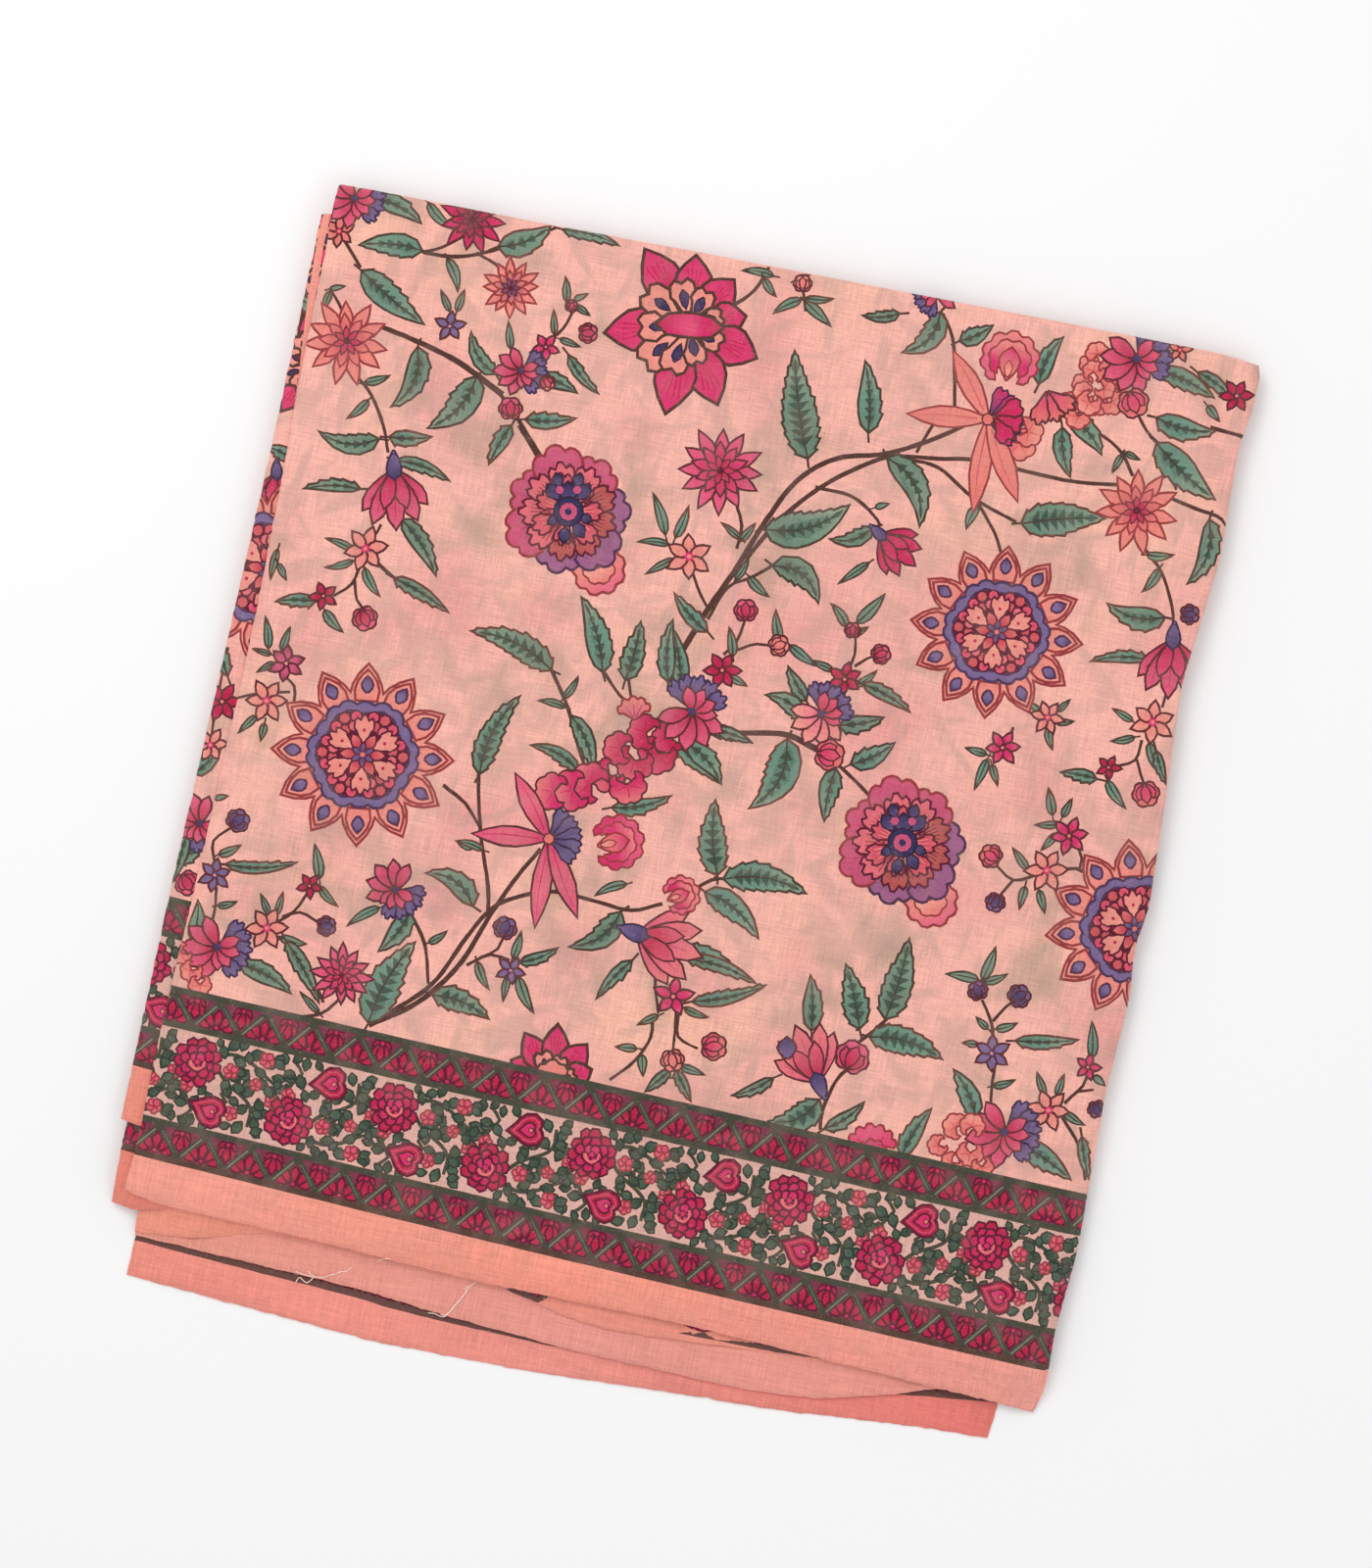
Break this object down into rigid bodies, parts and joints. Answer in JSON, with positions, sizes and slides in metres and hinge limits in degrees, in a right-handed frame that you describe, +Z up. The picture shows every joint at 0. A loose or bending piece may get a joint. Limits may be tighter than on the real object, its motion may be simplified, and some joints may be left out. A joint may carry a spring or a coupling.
{
  "type": "folded saree",
  "caption": "Printed peach cotton saree folded into a flat rectangular pile, with a flower border beside its plain selvedges; lies on a surface.",
  "frame": {"origin": "on the surface under the middle of the folded pile", "axes": "+Z up out of the pile, +Y along the longer side, from the loose selvedges to the long fold, +X along the printed border"},
  "size_m": [0.517, 0.615, 0.0134],
  "materials": {
    "printed_cotton": "thin matt cotton with a fine uneven weave, printed with flowers, stems and leaves on peach",
    "plain_selvedge": "the same thin cotton, plain salmon peach along the selvedges"
  },
  "bodies": {
    "root": {"base_stretch": "plain_selvedge", "hidden_layers": "printed_cotton", "third_stretch": "plain_selvedge", "second_stretch": "plain_selvedge", "left_under_stretch": "printed_cotton", "left_over_stretch": "printed_cotton", "top_stretch": "printed_cotton"}
  },
  "joints": []
}
